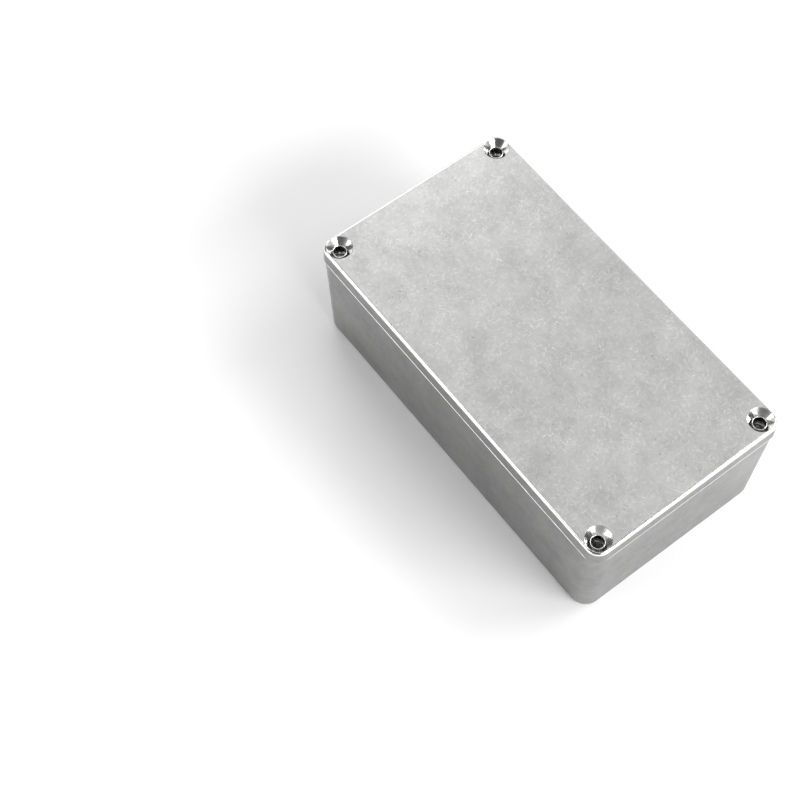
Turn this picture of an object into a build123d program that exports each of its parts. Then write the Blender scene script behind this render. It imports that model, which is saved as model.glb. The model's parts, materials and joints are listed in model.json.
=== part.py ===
from build123d import *
import os
from math import radians, tan

# A die cast aluminium enclosure: a box body with four tapped corner bosses and a lid with four
# countersunk screw holes. Millimetres. The base stands on the XY plane, centred on the origin,
# with its length along X and its width along Y.

# Overall size, over the lid
box_length = 121.5
box_width = 66.0
box_height = 40.0
lid_corner_radius = 4.0
base_corner_radius = 5.0

# Casting sections
wall_thickness = 2.3
floor_thickness = 2.3
lid_thickness = 2.4
lid_side_height = 5.1
draft_angle = 1.5

# The lid stands out past the base's rim by this much along the sides. Its corners are tighter
# than the base's, so it stands out further there.
lid_overhang = 0.05

# Edges
lid_top_edge_radius = 0.9
lid_lower_edge_radius = 0.25
rim_edge_radius = 0.5
base_edge_radius = 2.0
floor_edge_radius = 1.2

# Screw holes: the lid's clearance holes and the tapped holes in the bosses below them
screw_inset = 4.5
clearance_hole_diameter = 3.9
countersink_diameter = 7.5
countersink_angle = 82.0
tapped_hole_diameter = 2.9
tapped_hole_depth = 16.0
tapped_hole_mouth_diameter = 3.5
tapped_hole_mouth_angle = 90.0

# Corner bosses, and the round between each boss and the walls beside it, at the mouth
boss_radius = 4.3
boss_blend_radius = 3.0

# The lip under the lid, which drops into the mouth of the base
lip_height = 1.8
lip_thickness = 1.4
lip_clearance = 0.25

# Sizes that follow
seam_height = box_height - lid_side_height
draft_slope = tan(radians(draft_angle))
rim_length = box_length - 2 * lid_overhang
rim_width = box_width - 2 * lid_overhang
mouth_length = rim_length - 2 * wall_thickness
mouth_width = rim_width - 2 * wall_thickness
screw_spacing_x = box_length - 2 * screw_inset
screw_spacing_y = box_width - 2 * screw_inset
boss_to_wall = (mouth_length - screw_spacing_x) / 2
lid_recess_top = box_height - lid_thickness
lip_bottom = seam_height - lip_height
lip_inset = lip_clearance + lip_thickness


def rounded_outline(length, width, radius, inset):
    """A rounded rectangle whose sides all move in by the inset, as a drafted wall does."""
    RectangleRounded(length - 2 * inset, width - 2 * inset, radius)


def mouth_outline(inset):
    """The base's mouth, cut in at each corner by a boss; all its sides move in by the inset."""
    length = mouth_length - 2 * inset
    width = mouth_width - 2 * inset
    corner_square = 2 * (boss_to_wall - inset)
    with BuildSketch(Plane.XY) as outline:
        Rectangle(length, width)
        with GridLocations(screw_spacing_x, screw_spacing_y, 2, 2):
            Circle(boss_radius + inset, mode=Mode.SUBTRACT)
        with GridLocations(length, width, 2, 2):
            Rectangle(corner_square, corner_square, mode=Mode.SUBTRACT)
        fillet(outline.vertices(), boss_blend_radius - inset)
    return outline.sketch


# Base: drafted body, cavity between the bosses, tapped holes
with BuildPart() as base:
    with BuildSketch(Plane.XY):
        rounded_outline(rim_length, rim_width, base_corner_radius, seam_height * draft_slope)
    with BuildSketch(Plane.XY.offset(seam_height)):
        rounded_outline(rim_length, rim_width, base_corner_radius, 0)
    loft(ruled=True)
    fillet(base.edges().group_by(Axis.Z)[0], base_edge_radius)
    fillet(base.edges().group_by(Axis.Z)[-1], rim_edge_radius)

    cavity_depth = seam_height - floor_thickness
    with BuildSketch(Plane.XY.offset(floor_thickness)):
        add(mouth_outline(cavity_depth * draft_slope))
    with BuildSketch(Plane.XY.offset(seam_height)):
        add(mouth_outline(0))
    loft(ruled=True, mode=Mode.SUBTRACT)
    cavity_floor = base.faces().filter_by(Axis.Z).sort_by(Axis.Z)[1]
    fillet(cavity_floor.edges(), floor_edge_radius)

    with Locations(Plane.XY.offset(seam_height)):
        with GridLocations(screw_spacing_x, screw_spacing_y, 2, 2):
            CounterSinkHole(
                radius=tapped_hole_diameter / 2,
                counter_sink_radius=tapped_hole_mouth_diameter / 2,
                depth=tapped_hole_depth,
                counter_sink_angle=tapped_hole_mouth_angle,
            )

# Lid: drafted tray with a lip that follows the mouth, countersunk over the bosses
with BuildPart() as lid:
    with BuildSketch(Plane.XY.offset(seam_height)):
        rounded_outline(box_length, box_width, lid_corner_radius, 0)
    with BuildSketch(Plane.XY.offset(box_height)):
        rounded_outline(box_length, box_width, lid_corner_radius, lid_side_height * draft_slope)
    loft(ruled=True)
    fillet(lid.edges().group_by(Axis.Z)[-1], lid_top_edge_radius)
    fillet(lid.edges().group_by(Axis.Z)[0], lid_lower_edge_radius)

    with BuildSketch(Plane.XY.offset(lip_bottom)):
        add(mouth_outline(lip_clearance + lip_height * draft_slope))
    with BuildSketch(Plane.XY.offset(seam_height)):
        add(mouth_outline(lip_clearance))
    loft(ruled=True)

    with BuildSketch(Plane.XY.offset(lip_bottom)):
        add(mouth_outline(lip_inset))
    with BuildSketch(Plane.XY.offset(lid_recess_top)):
        add(mouth_outline(lip_inset + (lid_recess_top - lip_bottom) * draft_slope))
    loft(ruled=True, mode=Mode.SUBTRACT)

    with Locations(Plane.XY.offset(box_height)):
        with GridLocations(screw_spacing_x, screw_spacing_y, 2, 2):
            CounterSinkHole(
                radius=clearance_hole_diameter / 2,
                counter_sink_radius=countersink_diameter / 2,
                depth=lid_side_height,
                counter_sink_angle=countersink_angle,
            )

base.part.label = "base"
lid.part.label = "lid"

os.makedirs("parts", exist_ok=True)
export_step(base.part, "parts/base.step")
export_step(lid.part, "parts/lid.step")
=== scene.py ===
import json
import math

import bpy
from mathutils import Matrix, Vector


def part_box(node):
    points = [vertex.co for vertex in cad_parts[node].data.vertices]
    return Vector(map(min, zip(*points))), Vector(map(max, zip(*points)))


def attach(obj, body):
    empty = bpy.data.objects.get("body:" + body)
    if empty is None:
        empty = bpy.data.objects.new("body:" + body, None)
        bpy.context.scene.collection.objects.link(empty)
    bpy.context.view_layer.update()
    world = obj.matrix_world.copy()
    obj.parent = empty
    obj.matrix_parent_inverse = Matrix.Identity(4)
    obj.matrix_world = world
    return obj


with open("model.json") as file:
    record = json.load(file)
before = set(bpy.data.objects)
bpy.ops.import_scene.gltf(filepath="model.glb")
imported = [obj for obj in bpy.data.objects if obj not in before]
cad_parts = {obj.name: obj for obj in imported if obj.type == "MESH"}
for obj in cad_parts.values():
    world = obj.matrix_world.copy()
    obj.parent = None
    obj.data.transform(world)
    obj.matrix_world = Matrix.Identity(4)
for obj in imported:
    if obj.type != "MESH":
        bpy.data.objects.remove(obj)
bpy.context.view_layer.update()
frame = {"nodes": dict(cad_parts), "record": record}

bl_info = {
    "name": "Die Cast Aluminium Box",
    "version": (1, 0, 0),
    "blender": (4, 5, 0),
    "location": "3D View > Sidebar > Cast Box",
    "description": "Finishes the castings, threads the screw bosses and lights the box",
    "category": "Object",
}

MM = 0.001
LID_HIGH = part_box("lid")[1]
BASE_LOW, BASE_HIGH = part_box("base")


def boss_holes():
    """Where the drilled boss holes are, from the record: half their spacing in X and in Y, their
    radius, and the height of their upper end."""
    for mount in frame["record"]["mounts"]:
        if mount["name"] == "boss_screw_holes":
            dims = mount["dims"]
            return (dims["spacing_x_mm"] * MM / 2, dims["spacing_y_mm"] * MM / 2,
                    dims["hole_r_mm"] * MM, mount["pos_m"][2])
    raise RuntimeError("the record has no mount for the boss holes")


SCREW_X, SCREW_Y, HOLE_RADIUS, HOLE_TOP = boss_holes()
CORNERS = ((1, 1), (-1, 1), (-1, -1), (1, -1))
SEAM = BASE_HIGH.z

# The countersinks' depth, and the radii between which their cut metal gives way to the lid's face
COUNTERSINK_DEPTH = 2.07 * MM
COUNTERSINK_EDGE = (3.8 * MM, 3.7 * MM)
BORE_TOP = LID_HIGH.z - COUNTERSINK_DEPTH

# The thread's foot sits this far into the wall of its hole, and is this share of the pitch tall
THREAD_SEAT = 0.04 * MM
THREAD_FOOT = 0.84
THREAD_SIDES = 3
THREAD_STEPS = 24
THREAD_SHARP = math.radians(40)

# How finely the rolled edge of a bore is divided, and how close points are that count as one
RING_SIDES = 16
RING_STEPS = 64
SAME_POINT = 0.001 * MM

# Tilt of a face, from 0 for upright to 1 for level. A pair is where a change begins and ends.
LEVEL_TILT = 0.7
WALL_TO_TOP = (0.1, 0.5)
EDGE_BEGINS = (0.06, 0.3)
EDGE_ENDS = (0.995, 0.95)

# How far below the seam the bright rubbing fades in, and how far below their upper end the bores
# turn to a darker grey, partly painted shade of the deep holes and partly the duller drilled metal
RUBBED_BELOW_SEAM = (2 * MM, 1 * MM)
SHADE_BELOW_BORE_TOP = (0.1 * MM, 0.2 * MM)

# Clouds of the tumbled skin: their detail, the tones they run between and how far they spread
CLOUD_DETAIL = 6.0
CLOUD_GRAIN = 0.85
CLOUD_TONES = (0.5, 1.42)
CLOUD_SPREAD = (0.3, 0.7)

# Scratches: how much they bend, how far from the middle they end and are whole, as shares of their
# length, and three layers of them, each with its share of the full length and its shift
SCRATCH_BEND = 0.25
SCRATCH_TAPER = (0.55, 0.15)
SCRATCH_LAYERS = ((1.0, (0.31, 0.17, 0.0)), (0.7, (0.83, 0.41, 0.0)), (0.5, (0.57, 0.93, 0.0)))
DAB_SHIFT = (0.19, 0.71, 0.0)

# Patches where marks lie thick: their width, and the noise from which scratches and specks show
PATCH_WIDTH = 7 * MM
PATCH_DETAIL = 2.0
SCRATCH_PATCH = (0.42, 0.6)
SPECK_PATCH = (0.5, 0.7)
MARKS_ON_WALLS = 0.35

# Pits: the chance from which a cell has one, and the share of its radius that is at full depth.
# Specks are pits in a closer net and a little smaller.
PIT_CHANCE = (0.6, 1.0)
PIT_CORE = 0.3
SPECK_SPACING = 0.55
SPECK_RADIUS = 0.9

# How much lighter or darker each kind of mark is than the face it lies on
SCRATCH_TONE = 0.36
DAB_TONE = 0.24
SPECK_TONE = 0.55
PIT_TONE = -0.5

# Roughness of the faces, in dark and in pale clouds, of the rubbed edges and of the screw holes
FACE_ROUGHNESS = (0.36, 0.3)
EDGE_ROUGHNESS = 0.16
HOLE_ROUGHNESS = 0.15

# Relief: width and height of the casting's slow waves, height of its grain, and the marks, which
# are cut in
WAVE_WIDTH = 14 * MM
WAVE_DETAIL = 1.0
WAVE_HEIGHT = 0.12 * MM
GRAIN_HEIGHT = 0.05 * MM
SCRATCH_DEPTH = -0.007 * MM
PIT_DEPTH = -0.03 * MM

# The colour sockets of a Mix node, whose names repeat those of its other kinds
COLOUR_A, COLOUR_B, COLOUR_MIXED = 6, 7, 2

# The floor, which ends its fade to white at this many times the distance where that begins
FLOOR_SIZE = 8
FLOOR_GAP = 0.02 * MM
FLOOR_ROUGHNESS = 0.9
FLOOR_GLOSS = 0.2
FLOOR_FADE_END = 3

# The room, by the height of a direction, from 0 at the horizon to 1 straight above: the upper end
# of the pale sweep, and the two ends of the soft rim of the panel
SWEEP_TOP = 0.46
PANEL_RIM = (0.92, 0.99)

# Lamps: name, setting that holds the power, bearing and rise in degrees, width and height in metres
LAMPS = (
    ("overhead_softbox", "overhead", 142, 62, 0.8, 0.8),
    ("key_softbox", "key", 70, 47, 0.5, 0.4),
    ("side_softbox", "side", 12, 35, 0.85, 0.32),
    ("rear_softbox", "rear", 114, 30, 0.4, 0.4),
    ("back_softbox", "back", 158, 38, 0.5, 0.4),
    ("edge_lamp", "strip", 237, 38, 0.5, 1.0),
    ("low_strip", "low", 261, 9, 1.15, 0.27),
    ("front_strip", "front", 11, 13, 0.95, 0.14),
)
LAMP_DISTANCE = 1.0
LAMP_TARGET = (0, 0, 0.02)

# The camera's place and the point it faces, solved from the outline of the box in the photograph
CAMERA_PLACE = (0.16210, -0.17367, 0.43786)
CAMERA_TARGET = (-0.01553, -0.03809, 0.02)
CAMERA_SENSOR = 36


def linear(hex_colour):
    """An sRGB hex value as linear red, green, blue and alpha."""
    parts = [int(hex_colour[i:i + 2], 16) / 255 for i in (1, 3, 5)]
    return tuple(p / 12.92 if p <= 0.04045 else ((p + 0.055) / 1.055) ** 2.4
                 for p in parts) + (1.0,)


# Settings

class CastFinish(bpy.types.PropertyGroup):
    """Colours and sizes of the castings' surface."""
    cast_colour: bpy.props.FloatVectorProperty(
        name="Tumbled face", description="Grey of the matt tumbled faces",
        default=linear("#BBBBBA"), size=4, min=0, max=1, subtype="COLOR")
    # Painted shade: this tone darkens every upright wall against the lid's top, as if less light
    # fell on the walls
    painted_wall_shade: bpy.props.FloatProperty(
        name="Wall tone",
        description="How bright the drafted walls are beside the lid, which is rubbed more",
        default=0.57, min=0, max=1, subtype="FACTOR")
    edge_colour: bpy.props.FloatVectorProperty(
        name="Burnished edge", description="Brighter grey of the edges that tumbling rubs smooth",
        default=linear("#F2F2F0"), size=4, min=0, max=1, subtype="COLOR")
    machined_colour: bpy.props.FloatVectorProperty(
        name="Machined hole", description="Bright cut metal of the countersinks",
        default=linear("#ECECEA"), size=4, min=0, max=1, subtype="COLOR")
    # Painted shade in part: the bores' darker grey stands in for the shade deep in the screw holes,
    # and partly for duller drilled metal
    bore_shade_colour: bpy.props.FloatVectorProperty(
        name="Drilled bore", description="Dull metal of the bores below the countersinks",
        default=linear("#B4B4B2"), size=4, min=0, max=1, subtype="COLOR")
    cloud_size: bpy.props.FloatProperty(
        name="Cloud size", description="Width of the pale and dark clouds on the faces",
        default=11 * MM, min=1 * MM, max=60 * MM, unit="LENGTH")
    scratch_length: bpy.props.FloatProperty(
        name="Scratch length", description="Length of the short marks left by tumbling",
        default=2.6 * MM, min=0.5 * MM, max=20 * MM, unit="LENGTH")
    scratch_width: bpy.props.FloatProperty(
        name="Scratch width", description="Width of the short marks left by tumbling",
        default=0.3 * MM, min=0.05 * MM, max=1 * MM, unit="LENGTH")
    dab_length: bpy.props.FloatProperty(
        name="Dab length", description="Length of the short soft dabs between the scratches",
        default=1.6 * MM, min=0.5 * MM, max=20 * MM, unit="LENGTH")
    dab_width: bpy.props.FloatProperty(
        name="Dab width", description="Width of the short soft dabs between the scratches",
        default=0.5 * MM, min=0.05 * MM, max=3 * MM, unit="LENGTH")
    pit_spacing: bpy.props.FloatProperty(
        name="Pit spacing", description="Size of the net that the small pits are scattered over",
        default=3.4 * MM, min=0.5 * MM, max=20 * MM, unit="LENGTH")
    pit_radius: bpy.props.FloatProperty(
        name="Pit radius", description="Radius of a small pit",
        default=0.26 * MM, min=0.05 * MM, max=1 * MM, unit="LENGTH")


class BossThread(bpy.types.PropertyGroup):
    """Sizes of the thread in the four screw bosses."""
    pitch: bpy.props.FloatProperty(
        name="Pitch", description="Height of one turn of the thread",
        default=0.6 * MM, min=0.2 * MM, max=2 * MM, unit="LENGTH")
    ridge: bpy.props.FloatProperty(
        name="Ridge", description="How far the thread stands in from the hole's wall",
        default=0.16 * MM, min=0.02 * MM, max=1 * MM, unit="LENGTH")
    turns: bpy.props.IntProperty(
        name="Turns", description="Number of turns of thread in each hole",
        default=20, min=1, max=60)


class BoreRing(bpy.types.PropertyGroup):
    """Sizes of the turned-over edge at the foot of each countersink."""
    radius: bpy.props.FloatProperty(
        name="Radius", description="Radius of the ring, at the edge between countersink and bore",
        default=1.93 * MM, min=1 * MM, max=4 * MM, unit="LENGTH")
    roundness: bpy.props.FloatProperty(
        name="Roundness", description="Radius of the rolled edge itself",
        default=0.11 * MM, min=0.02 * MM, max=0.5 * MM, unit="LENGTH")


class StudioSettings(bpy.types.PropertyGroup):
    """Camera and lamps."""
    focal_length: bpy.props.FloatProperty(
        name="Focal length", description="Lens of the camera in millimetres",
        default=75.5, min=10, max=300)
    floor_colour: bpy.props.FloatVectorProperty(
        name="Floor", description="Plain pale floor",
        default=linear("#F8F8F8"), size=4, min=0, max=1, subtype="COLOR")
    overhead: bpy.props.FloatProperty(
        name="Overhead softbox", description="Power of the large lamp that the lid mirrors",
        default=1.78, min=0, unit="POWER")
    key: bpy.props.FloatProperty(
        name="Key softbox",
        description="Power of the main lamp, high on the right, past the far long wall",
        default=3.6, min=0, unit="POWER")
    side: bpy.props.FloatProperty(
        name="Side softbox", description="Power of the lamp that faces the near short wall",
        default=8.2, min=0, unit="POWER")
    rear: bpy.props.FloatProperty(
        name="Rear softbox", description="Power of the low lamp behind the far long wall",
        default=0.45, min=0, unit="POWER")
    back: bpy.props.FloatProperty(
        name="Back softbox", description="Power of the low lamp behind the far short wall",
        default=1.8, min=0, unit="POWER")
    strip: bpy.props.FloatProperty(
        name="Edge lamp",
        description="Power of the lamp that runs a line of light along the lid's long edge",
        default=2.1, min=0, unit="POWER")
    low: bpy.props.FloatProperty(
        name="Low strip",
        description="Power of the low strip that one side of each countersink mirrors",
        default=1.6, min=0, unit="POWER")
    front: bpy.props.FloatProperty(
        name="Front strip",
        description="Power of the low strip that the other side of each countersink mirrors",
        default=0.65, min=0, unit="POWER")
    ambient: bpy.props.FloatProperty(
        name="Ambient", description="Brightness of the room around the box",
        default=0.1, min=0, max=1)
    ceiling: bpy.props.FloatProperty(
        name="Ceiling", description="Brightness of the panel straight above the box",
        default=0.6, min=0, max=1)
    floor_fade: bpy.props.FloatProperty(
        name="Floor fade",
        description="Distance from the box at which the floor begins to turn white",
        default=0.4, min=0.1, max=4, unit="LENGTH")


# Material tools

def add_node(tree, kind, inputs=None, **settings):
    """Adds one node. Settings are its own choices, and inputs are socket values or links."""
    node = tree.nodes.new(kind)
    for name, value in settings.items():
        setattr(node, name, value)
    for key, value in (inputs or {}).items():
        if isinstance(value, bpy.types.NodeSocket):
            tree.links.new(value, node.inputs[key])
        else:
            node.inputs[key].default_value = value
    return node


def total(tree, outputs):
    """The outputs added up, and never more than 1."""
    result = outputs[0]
    for output in outputs[1:]:
        result = add_node(tree, "ShaderNodeMath", {0: result, 1: output},
                          operation="ADD", use_clamp=True).outputs[0]
    return result


def face_plane(tree, coordinates):
    """Flat coordinates on each face: the lid and floor by X and Y, the long walls by X and Z, the
    short walls by Y and Z."""
    place = add_node(tree, "ShaderNodeSeparateXYZ", {0: coordinates.outputs["Object"]})
    facing = add_node(tree, "ShaderNodeVectorMath", {0: coordinates.outputs["Normal"]},
                      operation="ABSOLUTE")
    turn = add_node(tree, "ShaderNodeSeparateXYZ", {0: facing.outputs[0]})
    level = add_node(tree, "ShaderNodeMath", {0: turn.outputs["Z"], 1: LEVEL_TILT},
                     operation="GREATER_THAN")
    short = add_node(tree, "ShaderNodeMath", {0: turn.outputs["X"], 1: turn.outputs["Y"]},
                     operation="GREATER_THAN")
    upright = add_node(tree, "ShaderNodeMath", {0: 1.0, 1: level.outputs[0]},
                       operation="SUBTRACT")
    end_wall = add_node(tree, "ShaderNodeMath", {0: short.outputs[0], 1: upright.outputs[0]},
                        operation="MULTIPLY")
    along = add_node(tree, "ShaderNodeMix", {
        "Factor": end_wall.outputs[0], "A": place.outputs["X"], "B": place.outputs["Y"]})
    across = add_node(tree, "ShaderNodeMix", {
        "Factor": level.outputs[0], "A": place.outputs["Z"], "B": place.outputs["Y"]})
    return add_node(tree, "ShaderNodeCombineXYZ", {
        0: along.outputs[0], 1: across.outputs[0], 2: end_wall.outputs[0]})


def scratches(tree, plane, length, width, shift):
    """Short bent marks, one in each cell of a loose net, each with its own direction, bend and
    depth."""
    moved = add_node(tree, "ShaderNodeVectorMath", {0: plane.outputs[0], 1: shift},
                     operation="ADD")
    cell = add_node(tree, "ShaderNodeTexVoronoi", {
        "Vector": moved.outputs[0], "Scale": 1 / length}, voronoi_dimensions="2D")
    chance = add_node(tree, "ShaderNodeSeparateColor", {0: cell.outputs["Color"]})
    local = add_node(tree, "ShaderNodeVectorMath", {
        0: moved.outputs[0], 1: cell.outputs["Position"]}, operation="SUBTRACT")
    angle = add_node(tree, "ShaderNodeMath", {0: chance.outputs["Red"], 1: math.tau},
                     operation="MULTIPLY")
    turned = add_node(tree, "ShaderNodeVectorRotate", {
        "Vector": local.outputs[0], "Angle": angle.outputs[0]}, rotation_type="Z_AXIS")
    part = add_node(tree, "ShaderNodeSeparateXYZ", {0: turned.outputs[0]})
    squared = add_node(tree, "ShaderNodeMath", {0: part.outputs["X"], 1: part.outputs["X"]},
                       operation="MULTIPLY")
    curl = add_node(tree, "ShaderNodeMapRange", {
        "Value": chance.outputs["Green"], "To Min": -SCRATCH_BEND / length,
        "To Max": SCRATCH_BEND / length})
    bend = add_node(tree, "ShaderNodeMath", {
        0: squared.outputs[0], 1: curl.outputs[0], 2: part.outputs["Y"]},
        operation="MULTIPLY_ADD")
    off_line = add_node(tree, "ShaderNodeMath", {0: bend.outputs[0]}, operation="ABSOLUTE")
    line = add_node(tree, "ShaderNodeMapRange", {
        "Value": off_line.outputs[0], "From Min": width / 2, "From Max": 0.0},
        interpolation_type="SMOOTHSTEP")
    off_middle = add_node(tree, "ShaderNodeMath", {0: part.outputs["X"]}, operation="ABSOLUTE")
    taper = add_node(tree, "ShaderNodeMapRange", {
        "Value": off_middle.outputs[0], "From Min": length * SCRATCH_TAPER[0],
        "From Max": length * SCRATCH_TAPER[1]}, interpolation_type="SMOOTHSTEP")
    shape = add_node(tree, "ShaderNodeMath", {
        0: line.outputs["Result"], 1: taper.outputs["Result"]}, operation="MULTIPLY")
    return add_node(tree, "ShaderNodeMath", {0: shape.outputs[0], 1: chance.outputs["Blue"]},
                    operation="MULTIPLY")


def pits(tree, plane, spacing, radius):
    """Small round pits of all depths, in two of every five cells of a loose net."""
    cell = add_node(tree, "ShaderNodeTexVoronoi", {
        "Vector": plane.outputs[0], "Scale": 1 / spacing}, voronoi_dimensions="2D")
    chance = add_node(tree, "ShaderNodeSeparateColor", {0: cell.outputs["Color"]})
    kept = add_node(tree, "ShaderNodeMapRange", {
        "Value": chance.outputs["Red"], "From Min": PIT_CHANCE[0], "From Max": PIT_CHANCE[1]})
    dot = add_node(tree, "ShaderNodeMapRange", {
        "Value": cell.outputs["Distance"], "From Min": radius / spacing,
        "From Max": PIT_CORE * radius / spacing}, interpolation_type="SMOOTHSTEP")
    return add_node(tree, "ShaderNodeMath", {
        0: dot.outputs["Result"], 1: kept.outputs["Result"]}, operation="MULTIPLY")


def tumbling_marks(tree, coordinates, tilt, finish):
    """What tumbling leaves on the skin: scratches, dabs, specks and pits.

    The finest marks and pits of a tumbled casting are under 0.05 mm wide, too fine to show in the
    render, so all of them are drawn a few tenths of a millimetre wide."""
    plane = face_plane(tree, coordinates)

    # Scratches lie thick in some places and thin in others, and the walls have fewer than the
    # lid's top
    where = add_node(tree, "ShaderNodeTexNoise", {
        "Vector": coordinates.outputs["Object"], "Scale": 1 / PATCH_WIDTH,
        "Detail": PATCH_DETAIL})
    reached = add_node(tree, "ShaderNodeMapRange", {
        "Value": tilt.outputs[0], "From Min": WALL_TO_TOP[0], "From Max": WALL_TO_TOP[1],
        "To Min": MARKS_ON_WALLS, "To Max": 1.0})
    thick = add_node(tree, "ShaderNodeMapRange", {
        "Value": where.outputs[0], "From Min": SCRATCH_PATCH[0], "From Max": SCRATCH_PATCH[1],
        "To Max": reached.outputs["Result"]})
    marks = total(tree, [
        scratches(tree, plane, finish.scratch_length * size, finish.scratch_width,
                  shift).outputs[0]
        for size, shift in SCRATCH_LAYERS])
    scratched = add_node(tree, "ShaderNodeMath", {0: marks, 1: thick.outputs["Result"]},
                         operation="MULTIPLY")
    dab = scratches(tree, plane, finish.dab_length, finish.dab_width, DAB_SHIFT)
    dabs = add_node(tree, "ShaderNodeMath", {0: dab.outputs[0], 1: reached.outputs["Result"]},
                    operation="MULTIPLY")
    pitted = pits(tree, plane, finish.pit_spacing, finish.pit_radius)

    # Bright specks come in groups
    speck = pits(tree, plane, finish.pit_spacing * SPECK_SPACING,
                 finish.pit_radius * SPECK_RADIUS)
    group = add_node(tree, "ShaderNodeMapRange", {
        "Value": where.outputs[0], "From Min": SPECK_PATCH[0], "From Max": SPECK_PATCH[1]})
    specks = add_node(tree, "ShaderNodeMath", {0: speck.outputs[0], 1: group.outputs["Result"]},
                      operation="MULTIPLY")
    return scratched, dabs, specks, pitted


def rubbed_and_cut(tree, coordinates, tilt):
    """Where the edges are rubbed bright, where the screw holes are, and where their bores begin."""
    # Rubbed edges: faces near the lid that are neither level nor upright
    rising = add_node(tree, "ShaderNodeMapRange", {
        "Value": tilt.outputs[0], "From Min": EDGE_BEGINS[0], "From Max": EDGE_BEGINS[1]})
    falling = add_node(tree, "ShaderNodeMapRange", {
        "Value": tilt.outputs[0], "From Min": EDGE_ENDS[0], "From Max": EDGE_ENDS[1]})
    sloping = add_node(tree, "ShaderNodeMath", {
        0: rising.outputs["Result"], 1: falling.outputs["Result"]}, operation="MULTIPLY")
    place = add_node(tree, "ShaderNodeSeparateXYZ", {0: coordinates.outputs["Object"]})
    upper = add_node(tree, "ShaderNodeMapRange", {
        "Value": place.outputs["Z"], "From Min": SEAM - RUBBED_BELOW_SEAM[0],
        "From Max": SEAM - RUBBED_BELOW_SEAM[1]})
    edge = add_node(tree, "ShaderNodeMath", {0: sloping.outputs[0], 1: upper.outputs["Result"]},
                    operation="MULTIPLY")

    # Screw holes: everything near the lid and within the rim of one of the four countersinks
    mirrored = add_node(tree, "ShaderNodeVectorMath", {0: coordinates.outputs["Object"]},
                        operation="ABSOLUTE")
    from_screw = add_node(tree, "ShaderNodeVectorMath", {
        0: mirrored.outputs[0], 1: (SCREW_X, SCREW_Y, 0)}, operation="SUBTRACT")
    level = add_node(tree, "ShaderNodeVectorMath", {0: from_screw.outputs[0], 1: (1, 1, 0)},
                     operation="MULTIPLY")
    radius = add_node(tree, "ShaderNodeVectorMath", {0: level.outputs[0]}, operation="LENGTH")
    within = add_node(tree, "ShaderNodeMapRange", {
        "Value": radius.outputs["Value"], "From Min": COUNTERSINK_EDGE[0],
        "From Max": COUNTERSINK_EDGE[1]})
    hole = add_node(tree, "ShaderNodeMath", {
        0: within.outputs["Result"], 1: upper.outputs["Result"]}, operation="MULTIPLY")
    # Below the top of the bores the holes take the darker bore grey, which is partly painted shade
    bore = add_node(tree, "ShaderNodeMapRange", {
        "Value": place.outputs["Z"], "From Min": BORE_TOP - SHADE_BELOW_BORE_TOP[0],
        "From Max": BORE_TOP - SHADE_BELOW_BORE_TOP[1]})
    return edge, hole, bore


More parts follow.
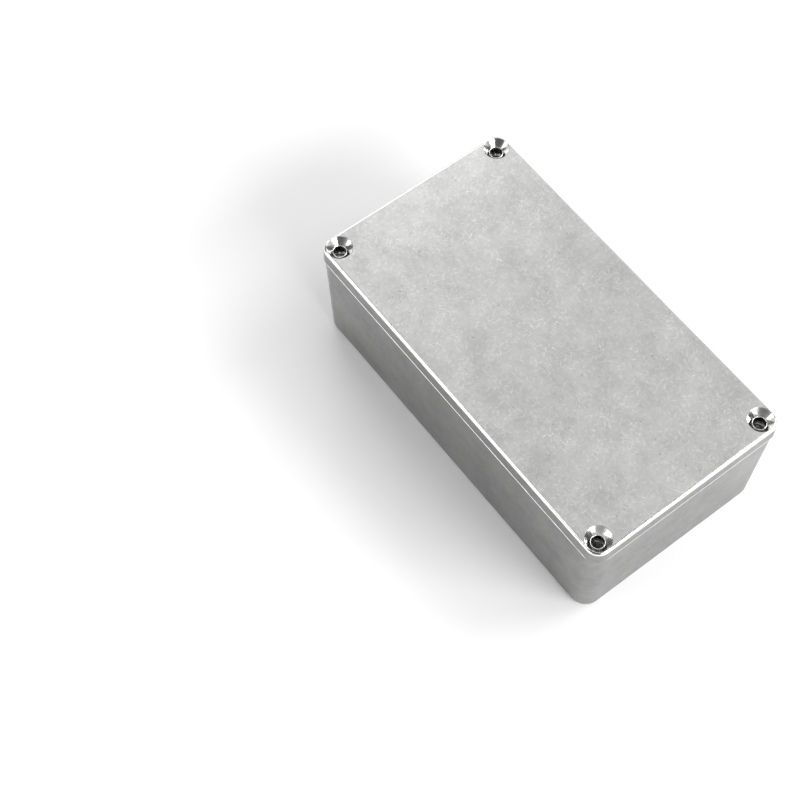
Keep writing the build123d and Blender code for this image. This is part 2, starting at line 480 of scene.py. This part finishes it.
def tumbled_die_cast_aluminium(finish):
    """Bare die cast aluminium, tumbled with stones after casting: a matt grey with pale clouds,
    short bent scratches and small pits, edges rubbed bright, and countersinks cut afterwards,
    which shine."""
    material = bpy.data.materials.new("tumbled_die_cast_aluminium")
    material.use_nodes = True
    tree = material.node_tree
    shader = tree.nodes["Principled BSDF"]
    shader.inputs["Metallic"].default_value = 1.0
    coordinates = add_node(tree, "ShaderNodeTexCoord")

    # Mottling of the tumbled skin: as strong in each size, from clouds a centimetre across down
    # to fine grain
    mottle = add_node(tree, "ShaderNodeTexNoise", {
        "Vector": coordinates.outputs["Object"], "Scale": 1 / finish.cloud_size,
        "Detail": CLOUD_DETAIL, "Roughness": CLOUD_GRAIN})

    # How far a face tilts from upright, which is 0, to level, which is 1
    slope = add_node(tree, "ShaderNodeSeparateXYZ", {0: coordinates.outputs["Normal"]})
    tilt = add_node(tree, "ShaderNodeMath", {0: slope.outputs["Z"]}, operation="ABSOLUTE")
    scratched, dabs, specks, pitted = tumbling_marks(tree, coordinates, tilt, finish)
    edge, hole, bore = rubbed_and_cut(tree, coordinates, tilt)

    # Colour: the clouds with their marks, then painted shade on the upright walls, then the edges
    # and the screw holes
    tone = add_node(tree, "ShaderNodeMapRange", {
        "Value": mottle.outputs[0], "From Min": 0.0, "From Max": 1.0,
        "To Min": CLOUD_TONES[0], "To Max": CLOUD_TONES[1]}, clamp=False).outputs["Result"]
    for layer, strength in ((scratched, SCRATCH_TONE), (dabs, DAB_TONE), (specks, SPECK_TONE),
                            (pitted, PIT_TONE)):
        tone = add_node(tree, "ShaderNodeMath", {0: layer.outputs[0], 1: strength, 2: tone},
                        operation="MULTIPLY_ADD").outputs[0]
    # Painted shade: upright faces are darkened by the wall tone, level faces keep their colour
    wall_shade = add_node(tree, "ShaderNodeMapRange", {
        "Value": tilt.outputs[0], "From Min": WALL_TO_TOP[0], "From Max": WALL_TO_TOP[1],
        "To Min": finish.painted_wall_shade, "To Max": 1.0})
    tone = add_node(tree, "ShaderNodeMath", {0: tone, 1: wall_shade.outputs["Result"]},
                    operation="MULTIPLY")
    face = add_node(tree, "ShaderNodeVectorMath", {
        0: tuple(finish.cast_colour)[:3], "Scale": tone.outputs[0]}, operation="SCALE")
    rubbed = add_node(tree, "ShaderNodeMix", {
        0: edge.outputs[0], COLOUR_A: face.outputs[0],
        COLOUR_B: tuple(finish.edge_colour)}, data_type="RGBA")
    # The cut holes: bright countersinks, then the bores' darker grey, which is partly painted shade
    cut = add_node(tree, "ShaderNodeMix", {
        0: bore.outputs["Result"], COLOUR_A: tuple(finish.machined_colour),
        COLOUR_B: tuple(finish.bore_shade_colour)}, data_type="RGBA")
    colour = add_node(tree, "ShaderNodeMix", {
        0: hole.outputs[0], COLOUR_A: rubbed.outputs[COLOUR_MIXED],
        COLOUR_B: cut.outputs[COLOUR_MIXED]}, data_type="RGBA")
    tree.links.new(colour.outputs[COLOUR_MIXED], shader.inputs["Base Color"])

    # Roughness: matt faces, smoother edges and the smooth cut of the countersinks
    matt = add_node(tree, "ShaderNodeMapRange", {
        "Value": mottle.outputs[0], "From Min": CLOUD_SPREAD[0], "From Max": CLOUD_SPREAD[1],
        "To Min": FACE_ROUGHNESS[0], "To Max": FACE_ROUGHNESS[1]})
    worn = add_node(tree, "ShaderNodeMix", {
        "Factor": edge.outputs[0], "A": matt.outputs["Result"], "B": EDGE_ROUGHNESS})
    polish = add_node(tree, "ShaderNodeMix", {
        "Factor": hole.outputs[0], "A": worn.outputs[0], "B": HOLE_ROUGHNESS})
    tree.links.new(polish.outputs[0], shader.inputs["Roughness"])

    # Relief in metres: the cast skin's slow waves and grain, and the marks. The cut metal has none.
    wave = add_node(tree, "ShaderNodeTexNoise", {
        "Vector": coordinates.outputs["Object"], "Scale": 1 / WAVE_WIDTH,
        "Detail": WAVE_DETAIL})
    height = add_node(tree, "ShaderNodeMath", {0: wave.outputs[0], 1: WAVE_HEIGHT},
                      operation="MULTIPLY")
    for layer, rise in ((mottle, GRAIN_HEIGHT), (scratched, SCRATCH_DEPTH),
                        (pitted, PIT_DEPTH)):
        height = add_node(tree, "ShaderNodeMath", {
            0: layer.outputs[0], 1: rise, 2: height.outputs[0]}, operation="MULTIPLY_ADD")
    skin = add_node(tree, "ShaderNodeMath", {0: 1.0, 1: hole.outputs[0]}, operation="SUBTRACT")
    relief = add_node(tree, "ShaderNodeMath", {0: height.outputs[0], 1: skin.outputs[0]},
                      operation="MULTIPLY")
    bump = add_node(tree, "ShaderNodeBump", {
        "Height": relief.outputs[0], "Distance": 1.0, "Strength": 1.0})
    tree.links.new(bump.outputs[0], shader.inputs["Normal"])
    return material


def seen_or_mirrored(tree):
    """1 for what the camera sees itself, in metal or through glass, and 0 for the light that
    falls on things."""
    path = add_node(tree, "ShaderNodeLightPath")
    return total(tree, [path.outputs["Is Camera Ray"], path.outputs["Is Glossy Ray"],
                        path.outputs["Is Transmission Ray"]])


def studio_floor(settings):
    """Matt painted board: plain, pale and without gloss. Away from the box, where the lamps no
    longer reach, it runs out into a white background."""
    material = bpy.data.materials.new("matt_painted_board")
    material.use_nodes = True
    tree = material.node_tree
    shader = tree.nodes["Principled BSDF"]
    shader.inputs["Base Color"].default_value = tuple(settings.floor_colour)
    shader.inputs["Roughness"].default_value = FLOOR_ROUGHNESS
    shader.inputs["Specular IOR Level"].default_value = FLOOR_GLOSS
    coordinates = add_node(tree, "ShaderNodeTexCoord")
    away = add_node(tree, "ShaderNodeVectorMath", {0: coordinates.outputs["Object"]},
                    operation="LENGTH")
    far = add_node(tree, "ShaderNodeMapRange", {
        "Value": away.outputs["Value"], "From Min": settings.floor_fade,
        "From Max": settings.floor_fade * FLOOR_FADE_END}, interpolation_type="SMOOTHSTEP")
    glow = add_node(tree, "ShaderNodeMath", {
        0: far.outputs["Result"], 1: seen_or_mirrored(tree)}, operation="MULTIPLY")
    shader.inputs["Emission Color"].default_value = linear("#FFFFFF")
    tree.links.new(glow.outputs[0], shader.inputs["Emission Strength"])
    return material


def pale_room(settings):
    """Even dim light from all sides, with a pale sweep around the horizon and a pale panel
    straight above."""
    world = bpy.data.worlds.new("pale_room")
    world.use_nodes = True
    tree = world.node_tree
    direction = add_node(tree, "ShaderNodeTexCoord")
    height = add_node(tree, "ShaderNodeSeparateXYZ", {0: direction.outputs["Generated"]})
    sweep = add_node(tree, "ShaderNodeMapRange", {
        "Value": height.outputs["Z"], "From Min": 0.0, "From Max": SWEEP_TOP,
        "To Min": 1 - settings.ambient, "To Max": 0.0}, interpolation_type="SMOOTHSTEP")
    panel = add_node(tree, "ShaderNodeMapRange", {
        "Value": height.outputs["Z"], "From Min": PANEL_RIM[0], "From Max": PANEL_RIM[1],
        "To Min": 0.0, "To Max": settings.ceiling}, interpolation_type="SMOOTHSTEP")
    lit = total(tree, [sweep.outputs["Result"], panel.outputs["Result"]])
    strength = add_node(tree, "ShaderNodeMath", {0: lit, 1: settings.ambient}, operation="ADD")
    background = tree.nodes["Background"]
    background.inputs["Color"].default_value = linear("#FFFFFF")
    tree.links.new(strength.outputs[0], background.inputs["Strength"])
    return world


# Modelling tools

def deselect_all():
    """Nothing stays selected, so the next operator acts on the new piece alone."""
    bpy.ops.object.select_all(action="DESELECT")


def aim(thing, target):
    """Turns a lamp or the camera to face a point."""
    thing.rotation_euler = (Vector(target) - thing.location).to_track_quat("-Z", "Y").to_euler()


def place_apply(piece):
    """Moves the piece's place into its mesh, so that its object sits at the origin."""
    deselect_all()
    piece.select_set(True)
    bpy.context.view_layer.objects.active = piece
    bpy.ops.object.transform_apply(location=True, rotation=True, scale=True)


def edit_whole(piece):
    """Opens the piece in edit mode with all of its mesh selected."""
    bpy.context.view_layer.objects.active = piece
    bpy.ops.object.mode_set(mode="EDIT")
    bpy.ops.mesh.select_all(action="SELECT")


def wind(section, rise, turns, steps):
    """Winds a section around the Z axis, higher by the rise with each turn. With no rise it closes
    where it meets itself. Unlike the spin operator, the modifier gives its faces in the same
    order each time."""
    winding = section.modifiers.new("wind", "SCREW")
    winding.screw_offset = rise
    winding.iterations = turns
    winding.steps = winding.render_steps = steps
    bpy.ops.object.modifier_apply(modifier=winding.name)


def turn_outwards():
    """Turns all faces of the mesh in edit mode outwards and closes edit mode."""
    bpy.ops.mesh.select_all(action="SELECT")
    bpy.ops.mesh.normals_make_consistent(inside=False)
    bpy.ops.object.mode_set(mode="OBJECT")


def copy_to_screws(first, name, node, height):
    """Puts a copy of the first piece at each of the four screws, each with its own mesh and the
    finish of the casting that it is cut in, and takes the first one away."""
    first.data.materials.clear()
    first.data.materials.append(frame["nodes"][node].material_slots[0].material)
    for count, (x, y) in enumerate(CORNERS, start=1):
        piece = first.copy()
        piece.data = first.data.copy()
        piece.name = piece.data.name = f"{name}_{count}"
        bpy.context.scene.collection.objects.link(piece)
        piece.location = (x * SCREW_X, y * SCREW_Y, height)
        place_apply(piece)
        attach(piece, "root")
    bpy.data.objects.remove(first)


# Operators

class CASTBOX_OT_castings(bpy.types.Operator):
    """Give the base and the lid their tumbled die cast surface"""
    bl_idname = "castbox.castings"
    bl_label = "Finish Castings"

    def execute(self, context):
        material = tumbled_die_cast_aluminium(context.scene.cast_finish)
        for name in ("base", "lid"):
            for slot in frame["nodes"][name].material_slots:
                slot.material = material
        return {"FINISHED"}


class CASTBOX_OT_boss_threads(bpy.types.Operator):
    """Line the drilled holes of the four screw bosses with a screw thread"""
    bl_idname = "castbox.boss_threads"
    bl_label = "Boss Threads"

    def execute(self, context):
        size = context.scene.boss_thread
        first = self.model_thread(size)
        copy_to_screws(first, "boss_thread", "base",
                       HOLE_TOP - (size.turns + 0.5) * size.pitch)
        return {"FINISHED"}

    def model_thread(self, size):
        """One ridge of thread around the Z axis: a three sided section, wound upwards and closed
        at both ends."""
        deselect_all()
        root = HOLE_RADIUS + THREAD_SEAT
        corner = size.pitch * THREAD_FOOT / math.sqrt(3)
        bpy.ops.mesh.primitive_circle_add(
            vertices=THREAD_SIDES, radius=corner, fill_type="NOTHING",
            location=(root - corner / 2, 0, 0), rotation=(math.pi / 2, -math.pi / 2, 0))
        thread = bpy.context.object

        # The section is even sided at first, one and a half times its corner radius deep
        edit_whole(thread)
        bpy.ops.transform.resize(value=((size.ridge + THREAD_SEAT) / (1.5 * corner), 1, 1),
                                 center_override=(root, 0, 0))
        bpy.ops.object.mode_set(mode="OBJECT")
        place_apply(thread)
        wind(thread, size.pitch, size.turns, THREAD_STEPS)
        edit_whole(thread)
        bpy.ops.mesh.fill_holes(sides=THREAD_SIDES)
        turn_outwards()
        bpy.ops.object.shade_smooth_by_angle(angle=THREAD_SHARP)
        return thread


class CASTBOX_OT_bore_rings(bpy.types.Operator):
    """Round the edge between each countersink and the bore below it"""
    bl_idname = "castbox.bore_rings"
    bl_label = "Bore Rings"

    def execute(self, context):
        first = self.model_ring(context.scene.bore_ring)
        copy_to_screws(first, "bore_ring", "lid", BORE_TOP)
        return {"FINISHED"}

    def model_ring(self, size):
        """One rolled edge: a round section, wound once about the hole's axis and closed where it
        meets itself."""
        deselect_all()
        bpy.ops.mesh.primitive_circle_add(
            vertices=RING_SIDES, radius=size.roundness, fill_type="NOTHING",
            location=(size.radius, 0, 0), rotation=(math.pi / 2, 0, 0))
        ring = bpy.context.object
        place_apply(ring)
        wind(ring, 0, 1, RING_STEPS)
        edit_whole(ring)
        bpy.ops.mesh.remove_doubles(threshold=SAME_POINT)
        turn_outwards()
        bpy.ops.object.shade_smooth()
        return ring


class CASTBOX_OT_studio(bpy.types.Operator):
    """Set up the floor, the lamps and the camera"""
    bl_idname = "castbox.studio"
    bl_label = "Studio"

    def execute(self, context):
        settings = context.scene.studio_settings
        self.lay_floor(settings)
        for name, setting, bearing, rise, width, height in LAMPS:
            self.hang_lamp(name, bearing, rise, width, height, getattr(settings, setting))
        context.scene.world = pale_room(settings)
        self.place_camera(context, settings)
        return {"FINISHED"}

    def lay_floor(self, settings):
        """A wide plain floor just below the box."""
        deselect_all()
        bpy.ops.mesh.primitive_plane_add(size=FLOOR_SIZE,
                                         location=(0, 0, BASE_LOW.z - FLOOR_GAP))
        floor = bpy.context.object
        floor.name = floor.data.name = "studio_floor"
        floor.data.materials.append(studio_floor(settings))

    def hang_lamp(self, name, bearing, rise, width, height, power):
        """One rectangular softbox that faces the box. The bearing is in degrees from +X towards
        +Y, and the rise in degrees above the floor."""
        lamp = bpy.data.lights.new(name, "AREA")
        lamp.shape = "RECTANGLE"
        lamp.size = width
        lamp.size_y = height
        lamp.energy = power
        holder = bpy.data.objects.new(name, lamp)
        bpy.context.scene.collection.objects.link(holder)
        around = math.radians(bearing)
        up = math.radians(rise)
        holder.location = LAMP_DISTANCE * Vector((
            math.cos(up) * math.cos(around), math.cos(up) * math.sin(around), math.sin(up)))
        aim(holder, LAMP_TARGET)

    def place_camera(self, context, settings):
        """The camera of the photograph, above the near corner."""
        camera = bpy.data.objects.new("camera", bpy.data.cameras.new("camera"))
        context.scene.collection.objects.link(camera)
        camera.data.lens = settings.focal_length
        camera.data.sensor_width = CAMERA_SENSOR
        camera.location = CAMERA_PLACE
        aim(camera, CAMERA_TARGET)
        context.scene.camera = camera
        context.scene.view_settings.view_transform = "Standard"


# Panel

class CASTBOX_PT_panel(bpy.types.Panel):
    """Buttons for the pieces of the box"""
    bl_idname = "CASTBOX_PT_panel"
    bl_label = "Cast Box"
    bl_space_type = "VIEW_3D"
    bl_region_type = "UI"
    bl_category = "Cast Box"

    def draw(self, context):
        for group in SETTINGS:
            settings = getattr(context.scene, group)
            box = self.layout.box()
            for name in type(settings).__annotations__:
                box.prop(settings, name)
        for operator in OPERATORS:
            self.layout.operator(operator.bl_idname)


SETTINGS = {"cast_finish": CastFinish, "boss_thread": BossThread, "bore_ring": BoreRing,
            "studio_settings": StudioSettings}
OPERATORS = (CASTBOX_OT_castings, CASTBOX_OT_boss_threads, CASTBOX_OT_bore_rings, CASTBOX_OT_studio)


def register():
    """Adds the settings, operators and panel to Blender."""
    for name, group in SETTINGS.items():
        bpy.utils.register_class(group)
        setattr(bpy.types.Scene, name, bpy.props.PointerProperty(type=group))
    for kind in OPERATORS + (CASTBOX_PT_panel,):
        bpy.utils.register_class(kind)


def unregister():
    """Takes the settings, operators and panel out again."""
    for kind in (CASTBOX_PT_panel,) + OPERATORS[::-1]:
        bpy.utils.unregister_class(kind)
    for name, group in SETTINGS.items():
        delattr(bpy.types.Scene, name)
        bpy.utils.unregister_class(group)


def main():
    """Builds everything in order."""
    register()
    bpy.ops.castbox.castings()
    bpy.ops.castbox.boss_threads()
    bpy.ops.castbox.bore_rings()
    bpy.ops.castbox.studio()


if __name__ == "__main__":
    main()
